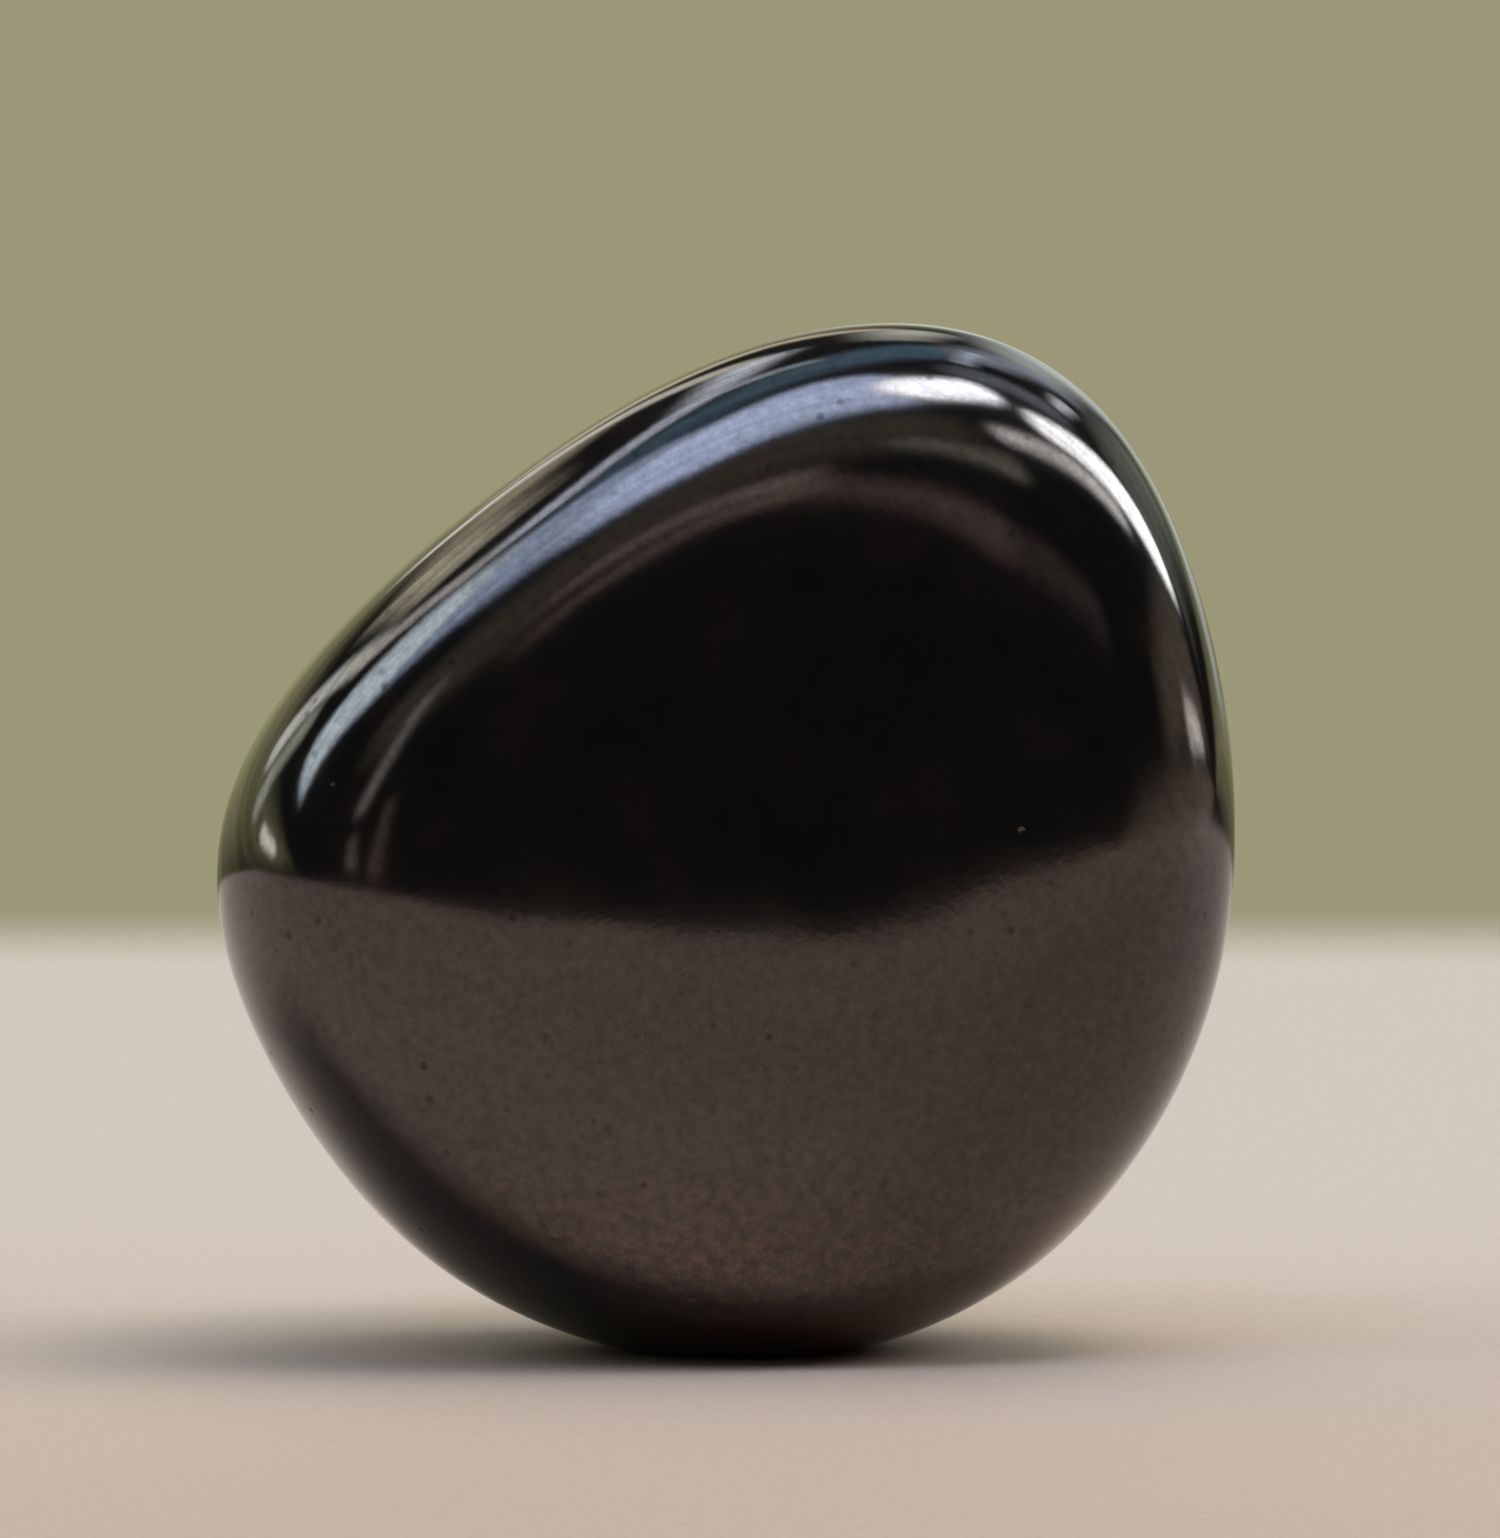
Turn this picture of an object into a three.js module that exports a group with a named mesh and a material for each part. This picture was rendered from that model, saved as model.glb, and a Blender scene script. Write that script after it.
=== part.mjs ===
// A black tourmaline pebble, tumbled until its corners are round and its skin shines.
// It stands on edge: its broad front face looks along -Y, and it rests on a small worn flat.
// Millimetres, +Z up, origin on the ground under the middle of the stone's box.

import * as THREE from 'three';
import { mergeVertices } from 'three/addons/utils/BufferGeometryUtils.js';

// Tumbling wears a rough crystal down to a few broad faces that melt into each other.
// Each worn face has a bearing, seen from the front and counted anticlockwise from +X, a swing
// away from the front towards the back, both in degrees, and its distance from the heart in mm.
const WORN_FACES = {
  rightSide: { bearing: 15, swing: 98, reach: 13.6 },
  crown: { bearing: 80, swing: 92, reach: 15.7 },
  leftSlope: { bearing: 130, swing: 102, reach: 11.4 },
  leftEnd: { bearing: 173, swing: 82, reach: 17.6 },
  leftUnderside: { bearing: 220, swing: 82, reach: 15.3 },
  base: { bearing: 270, swing: 95, reach: 15.5 },
  rightUnderside: { bearing: 320, swing: 86, reach: 14.7 },
  front: { bearing: 30, swing: 7, reach: 8.7 },
  frontShoulder: { bearing: 120, swing: 40, reach: 14.5 },
  frontCrown: { bearing: 45, swing: 50, reach: 22.5 },
  frontLeftBevel: { bearing: 196, swing: 45, reach: 20 },
  frontLowerBevel: { bearing: 270, swing: 40, reach: 14.5 },
  frontRightBevel: { bearing: 345, swing: 54, reach: 17 },
  back: { bearing: 180, swing: 175, reach: 8.7 },
  backShoulder: { bearing: 100, swing: 135, reach: 13 },
  backLeftBevel: { bearing: 190, swing: 135, reach: 12.5 },
  backLowerBevel: { bearing: 265, swing: 140, reach: 15 },
  backRightBevel: { bearing: 350, swing: 135, reach: 12 },
};

const EDGE_CRISPNESS = 5; // 2 would melt the faces into a ball, 20 would leave sharp edges
const FOOT_DEPTH = 13.9; // heart to the worn flat that the stone stands on
const GRID_STEPS = 26; // steps along each side of the cube that is blown up into the skin

const POLISHED_BLACK = new THREE.MeshStandardMaterial({
  color: 0x0b0a0a,
  roughness: 0.12,
  metalness: 0,
});

// A worn face as a vector: its length falls as the face lies further from the heart.
function wornPlane({ bearing, swing, reach }) {
  const around = THREE.MathUtils.degToRad(bearing);
  const back = THREE.MathUtils.degToRad(swing);
  const outward = new THREE.Vector3(
    Math.sin(back) * Math.cos(around),
    -Math.cos(back),
    Math.sin(back) * Math.sin(around),
  );
  return outward.divideScalar(reach);
}

// Distance from the heart to the skin: the worn faces blend where they meet.
function skinDistance(direction, planes) {
  let closeness = 0;
  for (const plane of planes) {
    const facing = Math.max(direction.dot(plane), 0);
    closeness += facing ** EDGE_CRISPNESS;
  }
  return closeness ** (-1 / EDGE_CRISPNESS);
}

// A cube's grid, spread by its angle so that its cells stay even once they lie on a ball.
function evenDirections() {
  const cube = new THREE.BoxGeometry(2, 2, 2, GRID_STEPS, GRID_STEPS, GRID_STEPS);
  cube.deleteAttribute('normal');
  cube.deleteAttribute('uv');
  const grid = mergeVertices(cube);
  const spread = (side) => Math.tan((side * Math.PI) / 4);
  const point = new THREE.Vector3();
  const corners = grid.attributes.position;
  for (let i = 0; i < corners.count; i += 1) {
    point.fromBufferAttribute(corners, i);
    point.set(spread(point.x), spread(point.y), spread(point.z)).normalize();
    corners.setXYZ(i, point.x, point.y, point.z);
  }
  return grid;
}

function tumbledSkin() {
  const planes = Object.values(WORN_FACES).map(wornPlane);
  const skin = evenDirections();
  const point = new THREE.Vector3();
  const corners = skin.attributes.position;
  for (let i = 0; i < corners.count; i += 1) {
    point.fromBufferAttribute(corners, i);
    point.multiplyScalar(skinDistance(point, planes));
    corners.setXYZ(i, point.x, point.y, Math.max(point.z, -FOOT_DEPTH));
  }
  return skin;
}

// Stand the stone on the ground, with the middle of its box over the origin.
function standOnGround(skin) {
  skin.computeBoundingBox();
  const middle = skin.boundingBox.getCenter(new THREE.Vector3());
  skin.translate(-middle.x, -middle.y, FOOT_DEPTH);
  skin.computeVertexNormals();
  return skin;
}

function makeStone() {
  const stone = new THREE.Mesh(standOnGround(tumbledSkin()), POLISHED_BLACK);
  stone.name = 'stone';
  return stone;
}

const tumbledTourmaline = new THREE.Group();
tumbledTourmaline.add(makeStone());

export default tumbledTourmaline;
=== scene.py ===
"""Looks of a tumbled black tourmaline: its polished skin, a plain pale floor and a soft studio sky.

Lengths are in metres, or in millimetres where a comment says so, with +Z up, in the frame of the
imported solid. Angles of the worn faces and of the sky are in degrees.
"""

import math
import random
from collections import namedtuple

import bmesh
import bpy
from bpy.props import FloatProperty, FloatVectorProperty, IntProperty, PointerProperty
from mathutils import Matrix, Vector, noise
from mathutils.kdtree import KDTree


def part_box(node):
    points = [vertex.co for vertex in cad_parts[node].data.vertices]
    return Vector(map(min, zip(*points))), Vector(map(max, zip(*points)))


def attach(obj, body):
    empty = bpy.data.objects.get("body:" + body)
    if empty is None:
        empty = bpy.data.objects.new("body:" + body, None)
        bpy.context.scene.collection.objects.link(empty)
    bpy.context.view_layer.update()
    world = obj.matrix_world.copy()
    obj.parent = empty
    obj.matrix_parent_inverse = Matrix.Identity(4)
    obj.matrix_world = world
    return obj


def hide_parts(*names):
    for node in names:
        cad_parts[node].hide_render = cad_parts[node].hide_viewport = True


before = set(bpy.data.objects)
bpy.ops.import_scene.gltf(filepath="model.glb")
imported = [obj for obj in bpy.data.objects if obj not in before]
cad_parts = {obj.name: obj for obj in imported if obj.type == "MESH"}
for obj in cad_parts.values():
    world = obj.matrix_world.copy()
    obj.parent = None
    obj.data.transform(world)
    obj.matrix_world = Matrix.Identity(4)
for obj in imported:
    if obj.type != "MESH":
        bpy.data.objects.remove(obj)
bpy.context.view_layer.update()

bl_info = {
    "name": "Tumbled Black Tourmaline",
    "version": (1, 0, 0),
    "blender": (4, 5, 0),
    "location": "View3D > Sidebar > Tourmaline",
    "description": "Carves and polishes a tumbled black tourmaline and lights it in a soft studio",
    "category": "Add Mesh",
}

MM = 0.001
STONE_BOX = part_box("stone")

# Tumbling wears a rough crystal down to a few broad faces that melt into each other: bearing round
# the front, anticlockwise from +X, swing from the front towards the back, both in degrees, and
# distance from the heart in millimetres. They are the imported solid's own faces.
WORN_FACES = {
    "right side": (15, 98, 13.6),
    "crown": (80, 92, 15.7),
    "left slope": (130, 102, 11.4),
    "left end": (173, 82, 17.6),
    "left underside": (220, 82, 15.3),
    "base": (270, 95, 15.5),
    "right underside": (320, 86, 14.7),
    "front": (30, 7, 8.7),
    "front shoulder": (120, 40, 14.5),
    "front crown": (45, 50, 22.5),
    "front left bevel": (196, 45, 20),
    "front lower bevel": (270, 40, 14.5),
    "front right bevel": (345, 54, 17),
    "back": (180, 175, 8.7),
    "back shoulder": (100, 135, 13),
    "back left bevel": (190, 135, 12.5),
    "back lower bevel": (265, 140, 15),
    "back right bevel": (350, 135, 12),
}
FOOT_DEPTH = 13.9  # heart to the worn flat, in millimetres
FURTHEST = 20.0  # no skin lies further from the heart, in millimetres
HALVINGS = 30  # how often the search for the front skin halves its range


# ---------------------------------------------------------------- settings


class StoneSettings(bpy.types.PropertyGroup):
    """Shape and finish of the stone."""

    edge_crispness: FloatProperty(
        name="Edge crispness",
        description="How sharply the worn faces meet: 2 is a ball, 20 a cut gem",
        default=5.0, min=2.0, max=20.0,
    )
    ball_steps: IntProperty(
        name="Fineness",
        description="How often the starting ball is subdivided",
        default=7, min=3, max=7,
    )
    pit_count: IntProperty(
        name="Pits",
        description="How many small pits the polish has left",
        default=110, min=0, max=400,
    )
    body_colour: FloatVectorProperty(
        name="Body colour",
        description="Colour of the stone under its polish",
        subtype="COLOR", size=3, default=(0.0026, 0.0024, 0.0024), min=0.0, max=1.0,
    )
    warm_colour: FloatVectorProperty(
        name="Warm patches",
        description="Colour of the faint brown patches in the black",
        subtype="COLOR", size=3, default=(0.0060, 0.0042, 0.0032), min=0.0, max=1.0,
    )
    # Painted reflection: the brown grain near the foot stands in for the brown floor that the polish
    # mirrors.
    painted_reflection_colour: FloatVectorProperty(
        name="Brown grain",
        description="Colour of the fine brown grain near the foot",
        subtype="COLOR", size=3, default=(0.128, 0.056, 0.028), min=0.0, max=1.0,
    )
    polish: FloatProperty(
        name="Roughness",
        description="Roughness of the best polished skin",
        subtype="FACTOR", default=0.07, min=0.0, max=1.0,
    )
    gloss_index: FloatProperty(
        name="Index of refraction",
        description="How strongly the polish reflects face on",
        default=1.9, min=1.0, max=3.0,
    )
    gloss_tint: FloatVectorProperty(
        name="Gloss tint",
        description="Warmth of what the polish reflects face on",
        subtype="COLOR", size=3, default=(1.0, 0.93, 0.86), min=0.0, max=1.0,
    )


class StageSettings(bpy.types.PropertyGroup):
    """Floor, sky and camera."""

    floor_colour: FloatVectorProperty(
        name="Floor",
        description="Colour of the pale floor before the stone",
        subtype="COLOR", size=3, default=(0.330, 0.238, 0.174), min=0.0, max=1.0,
    )
    # Painted sheen: the paler floor beside and behind stands in for the shine the floor takes at a
    # glance.
    far_floor_painted_sheen_colour: FloatVectorProperty(
        name="Far floor",
        description="Colour of the pale floor beside and behind the stone",
        subtype="COLOR", size=3, default=(0.380, 0.308, 0.245), min=0.0, max=1.0,
    )
    floor_reach: FloatProperty(
        name="Floor reach",
        description="Distance at which the round floor ends to the front and the sides",
        unit="LENGTH", default=0.85, min=0.1, max=5.0,
    )
    floor_back: FloatProperty(
        name="Floor back",
        description="Distance behind the stone at which the floor ends in a straight edge",
        unit="LENGTH", default=0.181, min=0.05, max=5.0,
    )
    softbox_power: FloatProperty(
        name="Softbox power",
        description="Strength of the broad light behind and to the right, overhead",
        default=1.72, min=0.0, max=20.0,
    )
    backdrop_colour: FloatVectorProperty(
        name="Backdrop",
        description="Plain colour behind the stone",
        subtype="COLOR", size=3, default=(0.33, 0.31, 0.19), min=0.0, max=1.0,
    )
    camera_distance: FloatProperty(
        name="Camera distance",
        description="From the lens to the stone, along the ground",
        unit="LENGTH", default=0.300, min=0.05, max=5.0,
    )
    camera_height: FloatProperty(
        name="Camera height",
        description="Height of the lens above the floor",
        unit="LENGTH", default=0.0298, min=0.0, max=1.0,
    )
    aim_height: FloatProperty(
        name="Aim height",
        description="Height above the floor of the middle of the picture, at the stone",
        unit="LENGTH", default=0.0158, min=0.0, max=1.0,
    )
    framed_height: FloatProperty(
        name="Framed height",
        description="Height of the picture at the stone",
        unit="LENGTH", default=0.0418, min=0.01, max=1.0,
    )


# ---------------------------------------------------------------- node helpers


def add_node(tree, kind, settings=None, **sockets):
    """Adds a node, sets its own properties and fills or links its input sockets.

    A socket goes by its name, or by its number, as in _0, where names repeat.
    """
    node = tree.nodes.new(kind)
    for key, value in (settings or {}).items():
        setattr(node, key, value)
    for name, value in sockets.items():
        socket = node.inputs[int(name[1:])] if name[0] == "_" else node.inputs[name.replace("_", " ")]
        if isinstance(value, bpy.types.NodeSocket):
            tree.links.new(value, socket)
        else:
            socket.default_value = value
    return node


def math_node(tree, operation, *values, clamp=False):
    """One Math node; each value is a number or a socket."""
    sockets = {f"_{i}": value for i, value in enumerate(values)}
    return add_node(
        tree, "ShaderNodeMath", {"operation": operation, "use_clamp": clamp}, **sockets
    ).outputs[0]


def vector_node(tree, operation, *values):
    """One Vector Math node; a dot product, distance or length comes out of its number socket."""
    sockets = {f"_{i}": value for i, value in enumerate(values)}
    node = add_node(tree, "ShaderNodeVectorMath", {"operation": operation}, **sockets)
    return node.outputs["Value" if operation in ("DOT_PRODUCT", "DISTANCE", "LENGTH") else "Vector"]


def new_material(name):
    """A material without nodes, and its node tree."""
    material = bpy.data.materials.new(name)
    material.use_nodes = True
    material.node_tree.nodes.clear()
    return material, material.node_tree


# ---------------------------------------------------------------- the stone


def worn_planes():
    """Each worn face as an outward vector whose length falls with its distance from the heart."""
    planes = []
    for bearing, swing, reach in WORN_FACES.values():
        around = math.radians(bearing)
        back = math.radians(swing)
        outward = Vector((
            math.sin(back) * math.cos(around),
            -math.cos(back),
            math.sin(back) * math.sin(around),
        ))
        planes.append(outward / (reach * MM))
    return planes


def skin_distance(direction, planes, crispness):
    """Distance from the heart to the skin, in which the worn faces melt into each other."""
    closeness = 0.0
    for plane in planes:
        facing = direction.dot(plane)
        if facing > 0.0:
            closeness += facing ** crispness
    return closeness ** (-1.0 / crispness)


# Faint hollows and swells that tumbling leaves: how far apart and how high, both in millimetres.
BROAD_SWELL = (6.5, 0.030)
FINE_SWELL = (2.6, 0.006)
FINE_SWELL_SHIFT = Vector((11.0, 3.0, 7.0))


def swell(place):
    """Height of the hollows and swells at a place."""
    broad = noise.noise(place / (BROAD_SWELL[0] * MM))
    fine = noise.noise(place / (FINE_SWELL[0] * MM) + FINE_SWELL_SHIFT)
    return (BROAD_SWELL[1] * broad + FINE_SWELL[1] * fine) * MM


# A pit that the polish has not reached: where it lies, how wide its mouth is and how deep it goes.
Pit = namedtuple("Pit", "centre radius depth")
PIT_SEED = 7
PIT_RADII = (0.07, 0.20)  # millimetres, most of them near the smaller
PIT_STEEPNESS = (0.02, 0.06)  # depth over radius
PIT_LOWNESS = (-0.95, -0.35)  # liking for a pit at the heart's height, and what each millimetre up adds
STRAY_PITS = 0.01  # liking for a pit away from the low front
PIT_CUTS = 3  # cuts in each edge of the ball round a pit
PIT_APRON = (1.3, 0.25)  # the finer edges reach this many radii and millimetres further from a pit
RAGGED_MOUTH = (0.11, 0.35)  # a pit's mouth wavers over this many millimetres, by this share
WIDEST_MOUTH = 1.4  # the widest that a ragged mouth gets, in radii
# Two small steep nicks on the front, which catch the window: X and Z from the heart, radius and
# depth, all in millimetres.
NICKS = {"upper_nick": (7.2, 0.6, 0.07, 0.055), "lower_nick": (8.4, -4.2, 0.06, 0.05)}


def outward_of_front(x, z, planes, crispness):
    """Direction from the heart to the front skin at X and Z in millimetres, found by halving."""
    near, far = 0.0, FURTHEST
    for _ in range(HALVINGS):
        y = (near + far) / 2
        spot = Vector((x, -y, z)) * MM
        if spot.length < skin_distance(spot.normalized(), planes, crispness):
            near = y
        else:
            far = y
    return Vector((x, -near, z)).normalized()


def scatter_pits(planes, settings):
    """Pits all over the skin, most of them low on the front, and the two nicks."""
    chance = random.Random(PIT_SEED)
    pits = []
    while len(pits) < settings.pit_count:
        direction = Vector([chance.gauss(0.0, 1.0) for _ in range(3)]).normalized()
        place = direction * skin_distance(direction, planes, settings.edge_crispness)
        lowness = min(1.0, max(0.0, PIT_LOWNESS[0] + PIT_LOWNESS[1] * place.z / MM))
        liking = STRAY_PITS + (1.0 - STRAY_PITS) * max(0.0, -direction.y) * lowness
        skin_covered = (place.length / (FURTHEST * MM)) ** 2
        if chance.random() > liking * skin_covered:
            continue
        radius = MM * (PIT_RADII[0] + (PIT_RADII[1] - PIT_RADII[0]) * chance.random() ** 2)
        pits.append(Pit(place, radius, radius * chance.uniform(*PIT_STEEPNESS)))
    for x, z, radius, depth in NICKS.values():
        direction = outward_of_front(x, z, planes, settings.edge_crispness)
        place = direction * skin_distance(direction, planes, settings.edge_crispness)
        pits.append(Pit(place, radius * MM, depth * MM))
    return pits


def refine_round_pits(shape, pits):
    """Cuts the ball's edges finer wherever a pit will be pressed in."""
    tree = KDTree(len(shape.verts))
    for vert in shape.verts:
        tree.insert(vert.co, vert.index)
    tree.balance()
    shape.verts.ensure_lookup_table()
    edges = set()
    for pit in pits:
        apron = PIT_APRON[0] * pit.radius + PIT_APRON[1] * MM
        spread_on_ball = apron / pit.centre.length
        for _, index, _ in tree.find_range(pit.centre.normalized(), spread_on_ball):
            edges.update(shape.verts[index].link_edges)
    bmesh.ops.subdivide_edges(shape, edges=list(edges), cuts=PIT_CUTS, use_grid_fill=True)
    bmesh.ops.triangulate(shape, faces=[face for face in shape.faces if len(face.verts) > 3])


def sink(place, pits, tree):
    """How far the skin sinks into the pits at a place, and how much of its polish it misses there."""
    sunk = 0.0
    dull = 0.0
    waver, raggedness = RAGGED_MOUTH
    for centre, index, distance in tree.find_range(place, PIT_RADII[1] * WIDEST_MOUTH * MM):
        pit = pits[index]
        ragged = 1.0 + raggedness * noise.noise(place / (waver * MM) + centre / MM)
        share = distance / (pit.radius * ragged)
        if share < 1.0:
            bowl = (1.0 - share * share) ** 2
            sunk = max(sunk, pit.depth * bowl)
            dull = max(dull, bowl)
    return sunk, dull


DULL = "dull"  # the attribute that says how much of the polish a spot of the skin misses
PAINTED_SHADE = "painted_shade"  # painted shade: the attribute that says how much of its shine a spot of the skin is made to miss
# The skin that gets painted shade, by its normal: where that starts and where it counts in full.
BEVEL_TURN = (-0.84, -0.70)  # Y of the normal, where the front turns into its bevel
BEVEL_UNDERSIDE = (-0.22, -0.42)  # Z of the normal, under the front edge
BEVEL_MIDDLE = 0.75  # share of the shine taken as painted shade where the bevel faces neither left nor right
BEVEL_LEAST = 0.35  # share of the shine taken as painted shade at the right end of the bevel
RIGHTWARD = (0.0, 0.25)  # X of the normal, on the right of the front
DOWNWARD = (0.03, -0.05)  # Z of the normal, on the right of the front
RIGHT_PAINTED_SHADE = 0.34  # share of the shine taken there as painted shade


def ramp(value, start, full):
    """Share of the way from the start to the full, kept between 0 and 1."""
    return min(1.0, max(0.0, (value - start) / (full - start)))


def painted_shade_share(normal):
    """Painted shade: the bevel under the front edge, most of all at its left, is made to shine only at
    a glance, so that it mirrors darker, as if it saw the shadow under the stone.

    The low right of the front is dimmed a little too, as painted shade.
    """
    leftward = min(1.0, max(BEVEL_LEAST, BEVEL_MIDDLE - normal.x))
    bevel = ramp(normal.y, *BEVEL_TURN) * ramp(normal.z, *BEVEL_UNDERSIDE) * leftward
    right = RIGHT_PAINTED_SHADE * ramp(normal.x, *RIGHTWARD) * ramp(normal.z, *DOWNWARD)
    return max(bevel, right)


def carve_stone(settings):
    """A fine ball is drawn in to the worn faces and pitted, then ground flat where it stands."""
    shape = bmesh.new()
    bmesh.ops.create_icosphere(shape, subdivisions=settings.ball_steps, radius=1.0)
    planes = worn_planes()
    pits = scatter_pits(planes, settings)
    refine_round_pits(shape, pits)
    tree = KDTree(len(pits))
    for index, pit in enumerate(pits):
        tree.insert(pit.centre, index)
    tree.balance()
    dullness = shape.verts.layers.float.new(DULL)
    painted_shade_layer = shape.verts.layers.float.new(PAINTED_SHADE)
    shape.verts.ensure_lookup_table()
    for vert in shape.verts:
        direction = vert.co.normalized()
        skin = direction * skin_distance(direction, planes, settings.edge_crispness)
        sunk, vert[dullness] = sink(skin, pits, tree)
        place = skin + direction * (swell(skin) - sunk)
        place.z = max(place.z, -FOOT_DEPTH * MM)
        vert.co = place
    shape.normal_update()
    # painted shade: how much shine each spot is made to miss, by the way its normal faces
    for vert in shape.verts:
        vert[painted_shade_layer] = painted_shade_share(vert.normal)
    return shape


def stand_in_box(shape):
    """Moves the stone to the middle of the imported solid's box, foot on the ground."""
    xs = [vert.co.x for vert in shape.verts]
    ys = [vert.co.y for vert in shape.verts]
    low, high = STONE_BOX
    shift = Vector((
        (low.x + high.x - min(xs) - max(xs)) / 2,
        (low.y + high.y - min(ys) - max(ys)) / 2,
        FOOT_DEPTH * MM,
    ))
    bmesh.ops.translate(shape, verts=shape.verts, vec=shift)


PAINTED_REFLECTION_HEIGHTS = (0.0018, 0.0076)  # painted reflection of the brown floor: the brown grain fades out between these heights over the foot
GLOSS_LEVELS = (0.39, 0.61)  # the polish takes unevenly, grain by grain: 0.5 is its full index
PRICK_LOSS = 0.5  # share of the gloss that a prick misses
PAINTED_SHADE_LOSS = 0.74  # share of the gloss that the painted shade takes at its darkest
SMEAR = 0.04  # roughness that the most smeared skin adds
PIT_ROUGHNESS = 0.45  # roughness that the bottom of a pit adds
# The scales of noises and cells count cells per metre: 4,000 gives four to a millimetre.


def stone_colour(tree, place, fleck, painted_shade, settings):
    """Near-black body with faint warm patches, and a painted reflection of the brown floor, laid on as
    fine brown grain towards the foot.
    """
    mottle = add_node(tree, "ShaderNodeTexNoise", Vector=place, Scale=420.0, Detail=6.0, Roughness=0.62)
    patches = add_node(
        tree, "ShaderNodeMapRange", {"interpolation_type": "SMOOTHSTEP"},
        Value=mottle.outputs["Fac"], From_Min=0.42, From_Max=0.70,
    )
    body = add_node(
        tree, "ShaderNodeMix", {"data_type": "RGBA"},
        _0=patches.outputs[0], _6=(*settings.body_colour, 1.0), _7=(*settings.warm_colour, 1.0),
    )
    painted_reflection_grain = add_node(
        tree, "ShaderNodeMapRange", Value=fleck,
        From_Min=0.36, From_Max=0.68, To_Min=0.25, To_Max=1.0,
    )
    height = add_node(tree, "ShaderNodeSeparateXYZ", Vector=place).outputs["Z"]
    lowness = add_node(
        tree, "ShaderNodeMapRange", {"interpolation_type": "SMOOTHSTEP"},
        Value=height, From_Min=PAINTED_REFLECTION_HEIGHTS[0], From_Max=PAINTED_REFLECTION_HEIGHTS[1], To_Min=1.0, To_Max=0.0,
    )
    # painted reflection of the floor, strongest low down and left off where shade is painted
    brown = math_node(tree, "MULTIPLY", painted_reflection_grain.outputs[0], lowness.outputs[0])
    brown = math_node(tree, "MULTIPLY", brown, math_node(tree, "SUBTRACT", 1.0, painted_shade, clamp=True))
    return add_node(
        tree, "ShaderNodeMix", {"data_type": "RGBA"},
        _0=brown, _6=body.outputs[2], _7=(*settings.painted_reflection_colour, 1.0),
    ).outputs[2]


def stone_gloss(tree, place, fleck, painted_shade):
    """Uneven shine: it falls in sparse fine pricks, and as painted shade on the bevel under the front
    edge.
    """
    prick = add_node(tree, "ShaderNodeTexVoronoi", Vector=place, Scale=1500.0, Randomness=1.0)
    hole = add_node(
        tree, "ShaderNodeMapRange", {"interpolation_type": "SMOOTHSTEP"},
        Value=prick.outputs["Distance"], From_Min=0.05, From_Max=0.26, To_Min=1.0, To_Max=0.0,
    )
    sparse = add_node(tree, "ShaderNodeTexNoise", Vector=place, Scale=700.0, Detail=2.0)
    allowed = add_node(
        tree, "ShaderNodeMapRange", {"interpolation_type": "SMOOTHSTEP"},
        Value=sparse.outputs["Fac"], From_Min=0.46, From_Max=0.60,
    )
    pricks = math_node(tree, "MULTIPLY", hole.outputs[0], allowed.outputs[0])
    # the pricks miss some gloss; the painted shade takes more on the bevel under the front edge
    pricks_and_painted_shade = math_node(
        tree, "MAXIMUM",
        math_node(tree, "MULTIPLY", pricks, PRICK_LOSS), math_node(tree, "MULTIPLY", painted_shade, PAINTED_SHADE_LOSS),
    )
    level = add_node(
        tree, "ShaderNodeMapRange", Value=fleck,
        From_Min=0.30, From_Max=0.70, To_Min=GLOSS_LEVELS[0], To_Max=GLOSS_LEVELS[1],
    )
    return math_node(tree, "MULTIPLY", level.outputs[0], math_node(tree, "SUBTRACT", 1.0, pricks_and_painted_shade))


def stone_roughness(tree, place, settings):
    """A polish that is faintly smeared, and dull in the pits."""
    smear = add_node(tree, "ShaderNodeTexNoise", Vector=place, Scale=260.0, Detail=4.0)
    rough = add_node(
        tree, "ShaderNodeMapRange", Value=smear.outputs["Fac"],
        From_Min=0.35, From_Max=0.70, To_Min=settings.polish, To_Max=settings.polish + SMEAR,
    )
    dull = add_node(tree, "ShaderNodeAttribute", {"attribute_name": DULL}).outputs["Fac"]
    return math_node(
        tree, "ADD", rough.outputs[0], math_node(tree, "MULTIPLY", dull, PIT_ROUGHNESS)
    )


def stone_material(settings):
    """A near-black body under a polish that is finely grained, smeared and uneven, with a painted
    reflection of the floor near the foot and painted shade under the front edge.
    """
    material, tree = new_material("polished_black_tourmaline")
    place = add_node(tree, "ShaderNodeTexCoord").outputs["Object"]
    fleck = add_node(
        tree, "ShaderNodeTexNoise", Vector=place, Scale=3400.0, Detail=4.0, Roughness=0.7
    ).outputs["Fac"]
    painted_shade = add_node(tree, "ShaderNodeAttribute", {"attribute_name": PAINTED_SHADE}).outputs["Fac"]
    grain = add_node(tree, "ShaderNodeTexNoise", Vector=place, Scale=5200.0, Detail=3.0)
    bump = add_node(
        tree, "ShaderNodeBump", Strength=0.25, Distance=0.003 * MM, Height=grain.outputs["Fac"]
    )
    shader = add_node(
        tree, "ShaderNodeBsdfPrincipled", Base_Color=stone_colour(tree, place, fleck, painted_shade, settings),
        Roughness=stone_roughness(tree, place, settings), IOR=settings.gloss_index,
        Specular_IOR_Level=stone_gloss(tree, place, fleck, painted_shade),
        Specular_Tint=(*settings.gloss_tint, 1.0), Normal=bump.outputs[0],
    )
    add_node(tree, "ShaderNodeOutputMaterial", Surface=shader.outputs[0])
    return material


# ---------------------------------------------------------------- the stage


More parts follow.
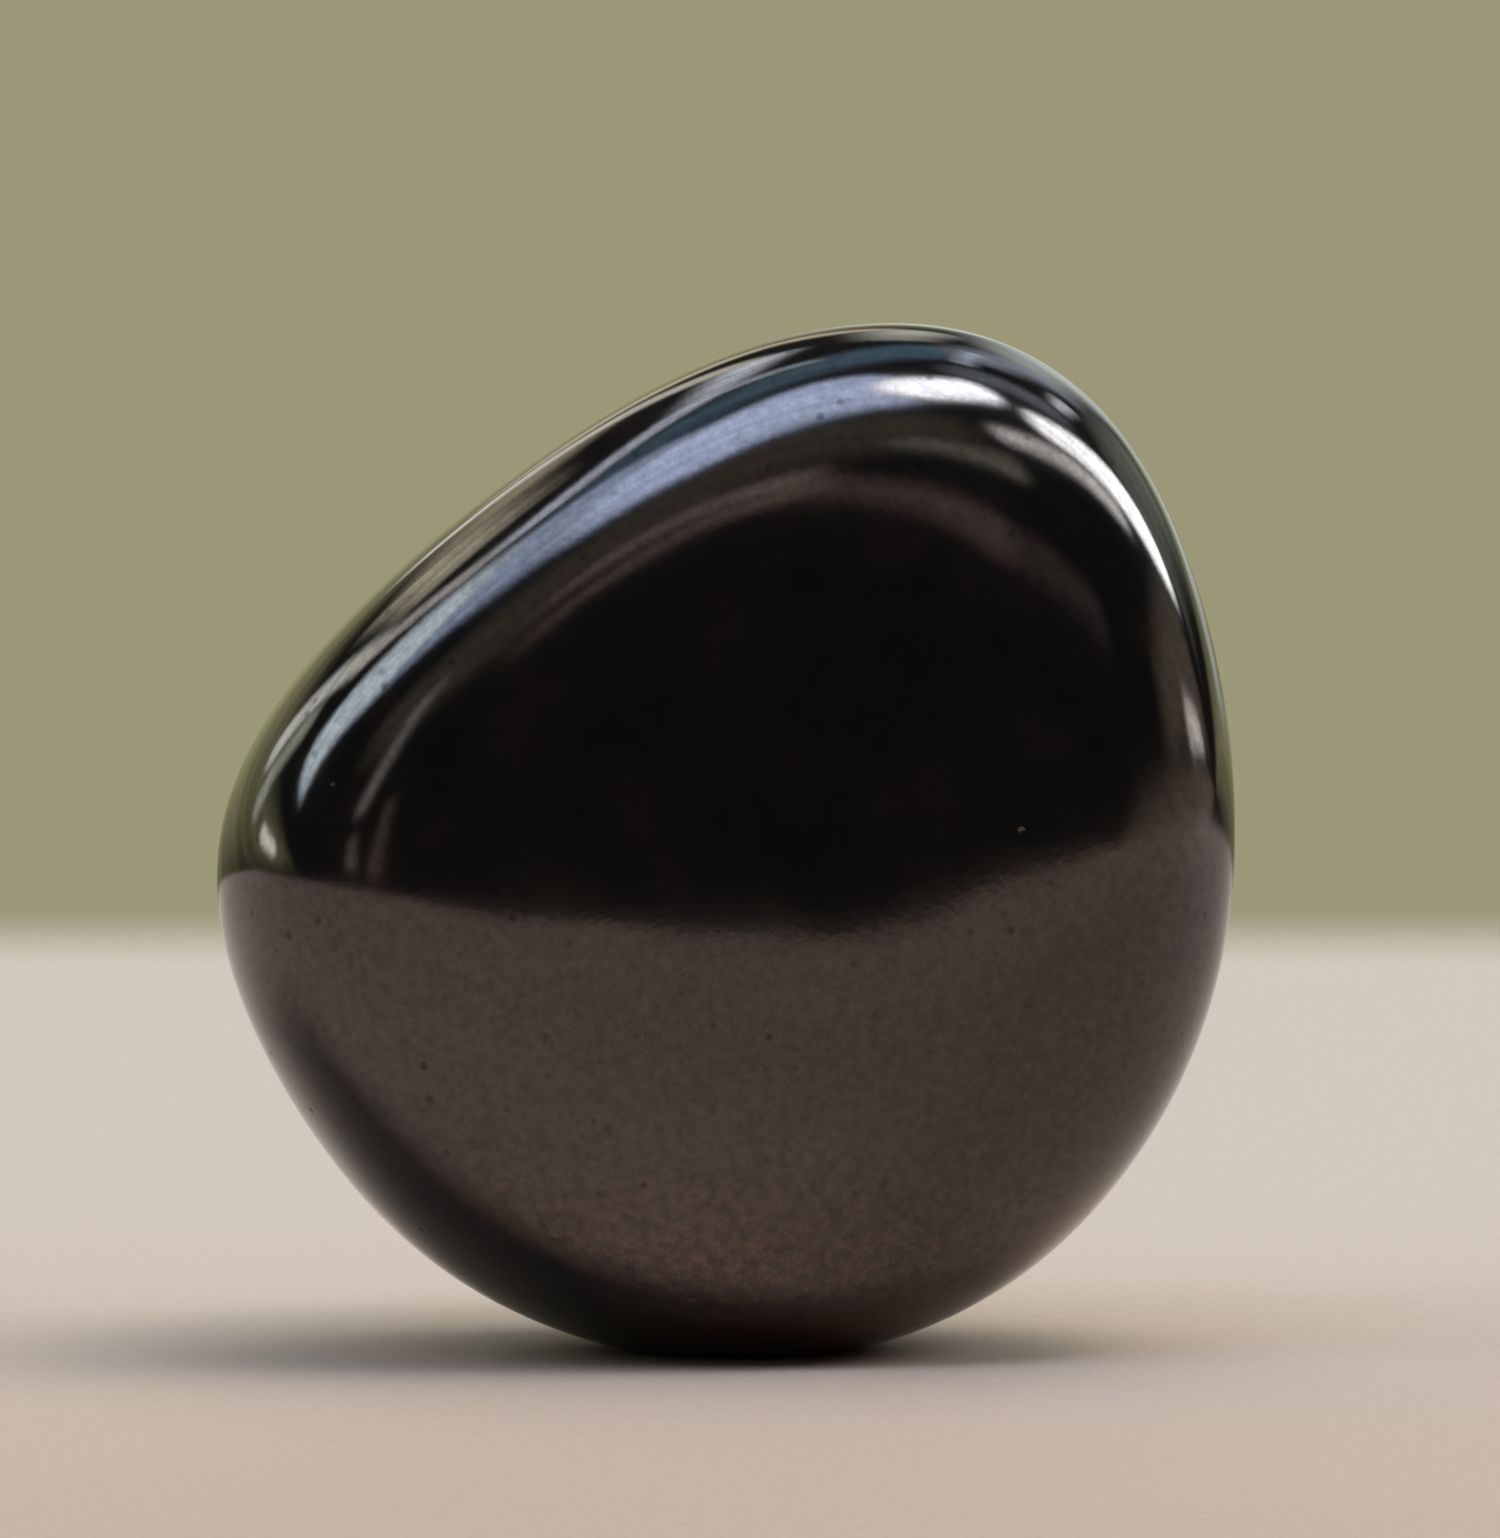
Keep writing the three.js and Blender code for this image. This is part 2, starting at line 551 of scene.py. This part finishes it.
FLOOR_FADE = 0.13  # the floor melts into the backdrop over this share of its reach, both ways
FLOOR_TURNS = (-0.07, 0.05)  # painted sheen: from front to back the floor turns paler between these depths, standing in for the shine the floor takes at a glance
FLOOR_SIDES = 96  # straight sides round the floor


def floor_material(settings):
    """Matt, faintly grained, a little darker in front and paler beside and behind with a painted sheen,
    and fading out at its edges.
    """
    material, tree = new_material("pale_floor")
    place = add_node(tree, "ShaderNodeTexCoord").outputs["Object"]
    grain = add_node(
        tree, "ShaderNodeTexNoise", Vector=place, Scale=2600.0, Detail=5.0, Roughness=0.7
    ).outputs["Fac"]
    tone = add_node(
        tree, "ShaderNodeMapRange", Value=grain,
        From_Min=0.30, From_Max=0.70, To_Min=0.93, To_Max=1.05,
    )
    depth = add_node(tree, "ShaderNodeSeparateXYZ", Vector=place).outputs["Y"]
    farness = add_node(
        tree, "ShaderNodeMapRange", {"interpolation_type": "SMOOTHSTEP"},
        Value=depth, From_Min=FLOOR_TURNS[0], From_Max=FLOOR_TURNS[1],
    )
    plain = add_node(
        tree, "ShaderNodeMix", {"data_type": "RGBA"}, _0=farness.outputs[0],
        _6=(*settings.floor_colour, 1.0), _7=(*settings.far_floor_painted_sheen_colour, 1.0),
    )
    colour = add_node(
        tree, "ShaderNodeVectorMath", {"operation": "SCALE"}, _0=plain.outputs[2], Scale=tone.outputs[0]
    )
    outward = math_node(tree, "DIVIDE", vector_node(tree, "LENGTH", place), settings.floor_reach)
    back = math_node(tree, "DIVIDE", depth, settings.floor_back)
    fade = add_node(
        tree, "ShaderNodeMapRange", {"interpolation_type": "SMOOTHSTEP"},
        Value=math_node(tree, "MAXIMUM", outward, back),
        From_Min=1.0 - FLOOR_FADE, From_Max=1.0 + FLOOR_FADE, To_Min=1.0, To_Max=0.0,
    )
    bump = add_node(tree, "ShaderNodeBump", Strength=0.35, Distance=0.05 * MM, Height=grain)
    shader = add_node(
        tree, "ShaderNodeBsdfPrincipled", Base_Color=colour.outputs[0], Roughness=0.75,
        Alpha=fade.outputs[0], Normal=bump.outputs[0],
    )
    add_node(tree, "ShaderNodeOutputMaterial", Surface=shader.outputs[0])
    return material


def lay_floor(settings):
    """A round sheet that is wider than its reach, so that its edge can fade."""
    shape = bmesh.new()
    radius = settings.floor_reach * (1.0 + FLOOR_FADE)
    bmesh.ops.create_circle(shape, cap_ends=True, radius=radius, segments=FLOOR_SIDES)
    mesh = bpy.data.meshes.new("floor")
    shape.to_mesh(mesh)
    shape.free()
    floor = bpy.data.objects.new("floor", mesh)
    bpy.context.scene.collection.objects.link(floor)
    mesh.materials.append(floor_material(settings))


# The sky is a set of soft lights. A light is a tapered strip between two places, and a place is an
# angle along the run of the window, from the left, and an angle across it, from the front horizon
# at -90 over the top at 0 to the back horizon at 90. The window runs from front left to back right.
# A strip has a width at each end and a soft edge, all in degrees too.
WINDOW_TURN = 30.0
SKY_GLOW = (0.02, 0.02, 0.02)  # what the sky gives where no light reaches
# Angles across at which the sky is parted: a ray works out only the lights that reach its own part.
SKY_PARTINGS = (-60.0, -32.0, 2.0, 26.0, 48.0)
SoftLight = namedtuple("SoftLight", "start end widths edge colour power")
SOFT_LIGHTS = {
    "window_left": SoftLight((-61, 24), (-46, 0), (18, 21), 8, (0.89, 1.08, 1.28), 3.6),
    "window_middle": SoftLight((-46, -2), (-30, -16), (21, 24), 7, (0.88, 1.13, 1.68), 1.86),
    "window_right": SoftLight((-25, -21), (-9, -20), (25, 24), 7, (0.96, 1.20, 1.80), 2.98),
    "window_glare": SoftLight((2, -22), (12, -21), (14, 13), 7, (0.98, 1.05, 1.20), 10.5),
    "side_window": SoftLight((29, -31), (60, -32), (12, 22), 7, (1.0, 1.04, 1.10), 9.6),
    "side_sill": SoftLight((10, -43), (44, -46), (6, 9), 6, (1.0, 1.02, 1.06), 3.4),
    "arch_left": SoftLight((-34, 11), (-37, 27), (5, 5), 4, (1.0, 1.0, 1.0), 2.4),
    "arch_foot": SoftLight((-37, 30), (-25, 66), (6, 9), 5, (0.97, 1.0, 0.95), 2.8),
    "arch_top": SoftLight((-31, 10), (-10, 20), (6, 6), 4, (0.88, 0.98, 1.25), 2.8),
    "arch_bend": SoftLight((-10, 19), (1, 15.5), (6, 4), 4, (0.86, 1.0, 1.22), 1.8),
    "arch_right": SoftLight((-8, 22), (7, 39), (6, 7), 6, (0.93, 1.0, 1.16), 2.6),
    "arch_end": SoftLight((7.5, 42), (7, 66), (5.5, 6), 4, (1.0, 0.96, 0.82), 1.95),
    "arch_inside": SoftLight((-25, 32), (-14, 48), (9, 8), 8, (1.0, 0.95, 0.74), 2.0),
    "arch_inner_end": SoftLight((-12, 48), (3, 58), (7, 7), 7, (1.0, 0.92, 0.64), 1.0),
    "crown_rim": SoftLight((15, 69), (25, 55), (8, 6), 5, (1.0, 0.88, 0.66), 1.2),
    "top_rim": SoftLight((22, 34), (28, 50), (8, 8), 8, (1.0, 1.0, 0.90), 1.35),
    "left_post": SoftLight((-40, 48), (-36, 74), (8, 10), 8, (0.92, 1.0, 0.84), 1.7),
    "left_lamp": SoftLight((-63, 78), (-52, 78), (9, 7), 7, (1.0, 1.0, 0.86), 4.2),
    "right_streak": SoftLight((22, 4), (30, 20), (4, 5), 5, (0.85, 1.0, 1.28), 2.1),
    "right_spark": SoftLight((43, -4), (47, 9), (4, 5), 5, (0.95, 1.0, 1.10), 3.0),
    "right_dusk": SoftLight((20, -8), (36, -12), (12, 12), 10, (0.85, 0.98, 1.20), 0.75),
    "right_haze": SoftLight((30, 16), (43, 30), (14, 16), 12, (0.85, 0.97, 1.20), 1.15),
    "right_fall": SoftLight((43, 34), (42, 70), (14, 12), 12, (0.92, 1.0, 0.98), 1.15),
    "far_right": SoftLight((67, -8), (61, 54), (24, 16), 14, (0.90, 0.96, 0.84), 0.50),
    "overhead_dusk": SoftLight((-30, 0), (22, 14), (12, 16), 10, (0.46, 0.86, 1.22), 0.66),
    "front_wall": SoftLight((-50, -42), (-5, -44), (18, 14), 12, (1.0, 0.86, 0.62), 0.21),
    "front_right_wall": SoftLight((44, -79), (68, -60), (12, 28), 12, (1.0, 0.84, 0.67), 0.36),
    "front_lamp": SoftLight((62, -76), (72, -72), (8, 8), 6, (1.0, 0.93, 0.90), 3.3),
    "right_wall_foot": SoftLight((22, -95), (80, -88), (11, 18), 10, (1.0, 0.82, 0.66), 0.45),
    "red_streak": SoftLight((-19, -59), (-5, -69.5), (4, 7), 5, (1.0, 0.72, 0.72), 0.36),
    "red_fall": SoftLight((-4, -70), (14, -75), (7, 5), 6, (1.0, 0.78, 0.75), 0.18),
    "rose_line": SoftLight((-35, -54.5), (-20, -57.5), (2, 3.5), 3.5, (1.0, 0.78, 0.70), 0.55),
    "sill_tail": SoftLight((-11, -48.5), (5, -54), (4, 7), 5, (1.0, 0.96, 0.82), 0.62),
    "rose_streak": SoftLight((-35, -48), (-22, -53.5), (3, 4), 4, (1.0, 0.82, 0.78), 0.8),
    "left_streak": SoftLight((-59, -63), (-46, -45), (4, 4), 5, (1.0, 0.97, 0.94), 0.8),
    "left_glint": SoftLight((-63, -83), (-62, -73), (4, 3), 4, (1.0, 0.90, 0.82), 0.5),
    "left_ember": SoftLight((-55, -86), (-51, -70), (4, 3), 4, (1.0, 0.74, 0.58), 0.35),
    "garden_end": SoftLight((34, 77), (56, 81), (15, 15), 10, (0.93, 1.0, 0.86), 0.95),
    "garden": SoftLight((-70, 75), (75, 80), (24, 32), 20, (1.0, 0.98, 0.54), 0.46),
}


HALF_TURN = 180.0  # degrees, past which no angle across goes
STREAK_LEAN = 0.4  # degrees across that a streak falls for each degree along
STREAKS_ALONG = 0.02  # streaks for each degree along
STREAKS_ACROSS = 0.25  # streaks for each degree across
SKY_MAP_SIZE = 512  # cells along the map that tells where the sky is bright
STREAK_LEVELS = (0.70, 1.24)  # curtains and leaves streak the window's light between these strengths


def soft_light(tree, place, light):
    """Light of one tapered strip of sky, from a place given as its angles along and across."""
    start = Vector((*light.start, 0.0))
    span = Vector((*light.end, 0.0)) - start
    slope = span / span.length_squared
    share = vector_node(tree, "DOT_PRODUCT", place, slope)
    share = math_node(tree, "SUBTRACT", share, start.dot(slope), clamp=True)
    nearest = vector_node(tree, "MULTIPLY_ADD", share, span, start)
    distance = vector_node(tree, "DISTANCE", place, nearest)
    first, last = light.widths
    reach = math_node(tree, "MULTIPLY_ADD", share, (last - first) / 2, (first + light.edge) / 2)
    fade = add_node(
        tree, "ShaderNodeMapRange", {"interpolation_type": "SMOOTHSTEP"},
        Value=math_node(tree, "SUBTRACT", reach, distance), From_Max=light.edge,
    )
    full = Vector(light.colour) * light.power
    return add_node(
        tree, "ShaderNodeVectorMath", {"operation": "SCALE"}, _0=full, Scale=fade.outputs[0]
    ).outputs[0]


def lit_part(tree, place, strength, low, high):
    """Sky with the lights that reach it between two angles across."""
    brightest = SKY_GLOW
    for light in SOFT_LIGHTS.values():
        spread = (max(light.widths) + light.edge) / 2
        ends = (light.start[1], light.end[1])
        if min(ends) - spread < high and max(ends) + spread > low:
            brightest = vector_node(tree, "MAXIMUM", brightest, soft_light(tree, place, light))
    streaked = add_node(
        tree, "ShaderNodeVectorMath", {"operation": "SCALE"}, _0=brightest, Scale=strength
    )
    return add_node(tree, "ShaderNodeBackground", Color=streaked.outputs[0]).outputs[0]


def light_sky(settings):
    """The soft lights for the polish and the floor, and a plain backdrop for the camera."""
    world = bpy.data.worlds.new("soft_studio")
    bpy.context.scene.world = world
    world.use_nodes = True
    tree = world.node_tree
    tree.nodes.clear()
    direction = add_node(tree, "ShaderNodeTexCoord").outputs["Generated"]
    turned = add_node(
        tree, "ShaderNodeVectorRotate", {"rotation_type": "Z_AXIS"},
        Vector=direction, Angle=-math.radians(WINDOW_TURN),
    )
    axes = add_node(tree, "ShaderNodeSeparateXYZ", Vector=turned.outputs[0]).outputs
    along = math_node(tree, "DEGREES", math_node(tree, "ARCSINE", axes["X"]))
    across = math_node(tree, "DEGREES", math_node(tree, "ARCTAN2", axes["Y"], axes["Z"]))
    place = add_node(tree, "ShaderNodeCombineXYZ", X=along, Y=across).outputs[0]
    sweep = math_node(tree, "ADD", across, math_node(tree, "MULTIPLY", along, STREAK_LEAN))
    drawn = add_node(
        tree, "ShaderNodeCombineXYZ",
        X=math_node(tree, "MULTIPLY", along, STREAKS_ALONG),
        Y=math_node(tree, "MULTIPLY", sweep, STREAKS_ACROSS),
    )
    streak = add_node(tree, "ShaderNodeTexNoise", Vector=drawn.outputs[0], Scale=1.0, Detail=3.0)
    strength = add_node(
        tree, "ShaderNodeMapRange", Value=streak.outputs["Fac"],
        From_Min=0.30, From_Max=0.70, To_Min=STREAK_LEVELS[0], To_Max=STREAK_LEVELS[1],
    )
    sky = lit_part(tree, place, strength.outputs[0], -HALF_TURN, SKY_PARTINGS[0])
    for low, high in zip(SKY_PARTINGS, (*SKY_PARTINGS[1:], HALF_TURN)):
        part = lit_part(tree, place, strength.outputs[0], low, high)
        beyond = math_node(tree, "GREATER_THAN", across, low)
        sky = add_node(tree, "ShaderNodeMixShader", _0=beyond, _1=sky, _2=part).outputs[0]
    seen = add_node(tree, "ShaderNodeLightPath").outputs["Is Camera Ray"]
    backdrop = add_node(tree, "ShaderNodeBackground", Color=(*settings.backdrop_colour, 1.0))
    mixed = add_node(tree, "ShaderNodeMixShader", _0=seen, _1=sky, _2=backdrop.outputs[0])
    add_node(tree, "ShaderNodeOutputWorld", Surface=mixed.outputs[0])
    world.cycles.sampling_method = "MANUAL"
    world.cycles.sample_map_resolution = SKY_MAP_SIZE


SOFTBOX_PLACE = (0.20, 0.20, 1.0)  # towards the softbox
SOFTBOX_SPREAD = math.radians(44)
SOFTBOX_COLOUR = (1.0, 0.96, 0.90)


def hang_softbox(settings):
    """A broad soft light overhead, behind and to the right, which the polish doesn't mirror."""
    data = bpy.data.lights.new("softbox", "SUN")
    data.energy = settings.softbox_power
    data.angle = SOFTBOX_SPREAD
    data.color = SOFTBOX_COLOUR
    softbox = bpy.data.objects.new("softbox", data)
    bpy.context.scene.collection.objects.link(softbox)
    softbox.rotation_euler = Vector(SOFTBOX_PLACE).to_track_quat("Z", "Y").to_euler()
    softbox.visible_glossy = False


CAMERA_SIDESTEP = 0.00064  # to the right of the stone's middle
SENSOR_WIDTH = 36.0  # millimetres
NEAREST_SEEN = 0.01
FURTHEST_SEEN = 10.0


def place_camera(settings):
    """Straight on to the front, from a little above it."""
    data = bpy.data.cameras.new("camera")
    camera = bpy.data.objects.new("camera", data)
    bpy.context.scene.collection.objects.link(camera)
    camera.location = (CAMERA_SIDESTEP, -settings.camera_distance, settings.camera_height)
    drop = math.atan2(settings.camera_height - settings.aim_height, settings.camera_distance)
    camera.rotation_euler = (math.pi / 2 - drop, 0.0, 0.0)
    data.sensor_width = SENSOR_WIDTH
    data.lens = data.sensor_width * settings.camera_distance / settings.framed_height
    data.clip_start = NEAREST_SEEN
    data.clip_end = FURTHEST_SEEN
    bpy.context.scene.camera = camera


# ---------------------------------------------------------------- operators and panel


class TOURMALINE_OT_carve(bpy.types.Operator):
    """Carve and polish the tumbled stone."""

    bl_idname = "tourmaline.carve"
    bl_label = "Carve Stone"

    def execute(self, context):
        settings = context.scene.tourmaline_stone
        shape = carve_stone(settings)
        stand_in_box(shape)
        mesh = bpy.data.meshes.new("tumbled_stone")
        shape.to_mesh(mesh)
        shape.free()
        mesh.shade_smooth()
        mesh.materials.append(stone_material(settings))
        stone = bpy.data.objects.new("tumbled_stone", mesh)
        context.scene.collection.objects.link(stone)
        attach(stone, "root")
        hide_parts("stone")
        return {"FINISHED"}


class TOURMALINE_OT_stage(bpy.types.Operator):
    """Lay the floor, light the sky and place the camera."""

    bl_idname = "tourmaline.stage"
    bl_label = "Set Stage"

    def execute(self, context):
        settings = context.scene.tourmaline_stage
        context.scene.view_settings.view_transform = "Standard"
        lay_floor(settings)
        light_sky(settings)
        hang_softbox(settings)
        place_camera(settings)
        return {"FINISHED"}


class VIEW3D_PT_tourmaline(bpy.types.Panel):
    """Settings and buttons for the stone and its stage."""

    bl_label = "Tumbled Tourmaline"
    bl_space_type = "VIEW_3D"
    bl_region_type = "UI"
    bl_category = "Tourmaline"

    def draw(self, context):
        for group, button in (
            (context.scene.tourmaline_stone, TOURMALINE_OT_carve.bl_idname),
            (context.scene.tourmaline_stage, TOURMALINE_OT_stage.bl_idname),
        ):
            box = self.layout.box()
            for name in type(group).__annotations__:
                box.prop(group, name)
            box.operator(button)


CLASSES = (StoneSettings, StageSettings, TOURMALINE_OT_carve, TOURMALINE_OT_stage, VIEW3D_PT_tourmaline)


def register():
    for each in CLASSES:
        bpy.utils.register_class(each)
    bpy.types.Scene.tourmaline_stone = PointerProperty(type=StoneSettings)
    bpy.types.Scene.tourmaline_stage = PointerProperty(type=StageSettings)


def unregister():
    del bpy.types.Scene.tourmaline_stage
    del bpy.types.Scene.tourmaline_stone
    for each in reversed(CLASSES):
        bpy.utils.unregister_class(each)


def main():
    register()
    bpy.ops.tourmaline.stage()
    bpy.ops.tourmaline.carve()


if __name__ == "__main__":
    main()
